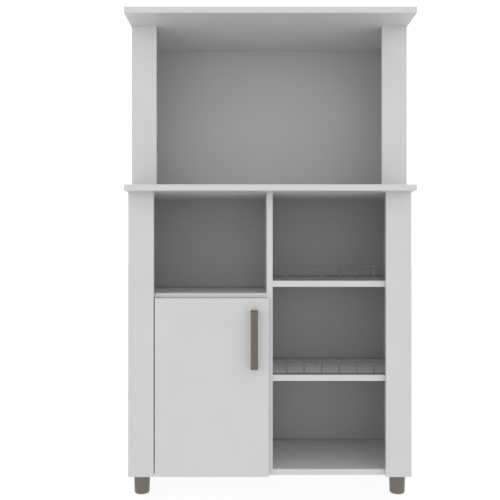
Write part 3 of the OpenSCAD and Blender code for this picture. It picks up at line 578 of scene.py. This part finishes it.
def add_welds(rail, low, high):
    """Beads of weld where each upright wire meets the two long ones."""
    beads = []
    for count in range(posts):
        for height in (low.z + wire_radius, high.z - wire_radius):
            place = (first_post + count * post_step, low.y + weld_back, height)
            bpy.ops.object.select_all(action="DESELECT")
            bpy.ops.mesh.primitive_uv_sphere_add(segments=bead_sides, ring_count=bead_rings,
                                                 radius=1, location=place, scale=bead_size)
            bead = bpy.context.object
            bpy.ops.object.mode_set(mode="EDIT")
            bpy.ops.transform.vertex_random(offset=bead_lumps, seed=count)
            bpy.ops.object.mode_set(mode="OBJECT")
            bead.data.materials.append(powder)
            beads.append(bead)
    join(beads + [rail], rail)
    smooth(rail, bead_turn)


def head_middles(piece, axis, plane):
    """The middles of the screw heads whose faces lie in one plane."""
    rims = []
    for vertex in piece.data.vertices:
        if abs(vertex.co[axis] - plane) < same_place:
            known = [rim for rim in rims if (rim[0] - vertex.co).length < head_reach]
            if known:
                known[0].append(vertex.co)
            else:
                rims.append([vertex.co])
    return [sum(rim, Vector()) / len(rim) for rim in rims]


def driver_bar(middle, facing, axis, along, length):
    """One bar of a driver's cross: it stands out of a screw's head and tapers into it."""
    size = Vector([length * cross_wide] * 3)
    size[along] = length
    size[axis] = length * cross_deep * 2
    bpy.ops.object.select_all(action="DESELECT")
    bpy.ops.mesh.primitive_cube_add(size=1, location=middle, scale=size)
    bar = bpy.context.object
    bpy.ops.object.mode_set(mode="EDIT")
    bpy.ops.mesh.select_mode(type="VERT")
    bpy.ops.mesh.select_all(action="DESELECT")
    bpy.ops.object.mode_set(mode="OBJECT")
    for vertex in bar.data.vertices:
        vertex.select = vertex.co[axis] * facing[axis] < 0
    narrow = Vector([tip_wide] * 3)
    narrow[along] = tip_long
    narrow[axis] = 1
    bpy.ops.object.mode_set(mode="EDIT")
    bpy.ops.transform.resize(value=narrow)
    bpy.ops.object.mode_set(mode="OBJECT")
    return bar


def cut_crosses(piece, low, high, facing, length):
    """Cuts a driver's cross into each head of a group of screws, each turned its own way."""
    axis = max(range(3), key=lambda i: abs(facing[i]))
    plane = high[axis] if facing[axis] > 0 else low[axis]
    bars = []
    for count, middle in enumerate(head_middles(piece, axis, plane)):
        for along in range(3):
            if along != axis:
                bar = driver_bar(middle, facing, axis, along, length)
                bar.rotation_euler[axis] = head_turn * count
                bars.append(bar)
    join(bars, bars[0])
    bpy.ops.object.transform_apply()
    cut_away(piece, bars[0])


dressed("door_handle", handle_plastic, DOOR_LEAF, moulded_round)
for node in LEGS:
    dressed(node, leg_plastic, CARCASS, moulded_round)
for node in RAILS:
    rail = dressed(node, powder, CARCASS, wire_round)
    add_welds(rail, *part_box(node))
for node in HINGE_CUPS:
    dressed(node, nickel_steel, DOOR_LEAF, pressed_round)
for node in ARMS_AND_PLATES:
    dressed(node, nickel_steel, CARCASS, pressed_round)
for node, body, facing, length in SCREWS:
    screws = copy_of(node)
    screws.data.materials.append(zinc_steel)
    cut_crosses(screws, *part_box(node), facing, length)
    smooth(screws)
    stands_for(screws, node, body)
for node in ZINC_FITTINGS:
    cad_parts[node].material_slots[0].material = zinc_steel
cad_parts["wood_dowels"].material_slots[0].material = beech
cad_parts["door_bumpers"].material_slots[0].material = pad


# ---- Studio ----

def studio_floor():
    """A plain pale floor that the cabinet stands on."""
    bpy.ops.object.select_all(action="DESELECT")
    bpy.ops.mesh.primitive_circle_add(vertices=floor_corners, radius=floor_radius, fill_type="NGON")
    floor = bpy.context.object
    floor.name = "studio_floor"
    finish = Finish("studio_floor", (floor_grey, floor_grey, floor_grey), 0.8)
    finish.shader.inputs["Emission Color"].default_value = shade(1)
    finish.shader.inputs["Emission Strength"].default_value = floor_glow
    finish.show("Roughness", 0.75 + 0.1 * finish.noise(3, 2))
    floor.data.materials.append(finish.material)


def studio_light():
    """Soft light from all round, as in a white tent, and weaker from overhead."""
    world = bpy.data.worlds.new("white_tent")
    bpy.context.scene.world = world
    world.use_nodes = True
    around = Nodes(world.node_tree)
    towards = around.node("TexCoord", {}, {}, "Generated")
    height = around.node("SeparateXYZ", {}, {"Vector": towards}, "Z")
    strength = around.node("MapRange", {}, {"Value": height, "To Min": tent_level,
                                            "To Max": tent_top})
    tent = around.tree.nodes["Background"]
    tent.inputs["Color"].default_value = shade(1)
    around.tree.links.new(strength.socket, tent.inputs["Strength"])


def studio_camera():
    """A level camera, square to the cabinet's front."""
    lens = bpy.data.cameras.new("camera")
    lens.lens = lens_length
    lens.sensor_width = picture_width
    camera = bpy.data.objects.new("camera", lens)
    bpy.context.scene.collection.objects.link(camera)
    camera.location = camera_place
    camera.rotation_euler = (math.radians(90), 0, 0)
    bpy.context.scene.camera = camera


studio_floor()
studio_light()
studio_camera()
bpy.context.scene.view_settings.view_transform = "Standard"
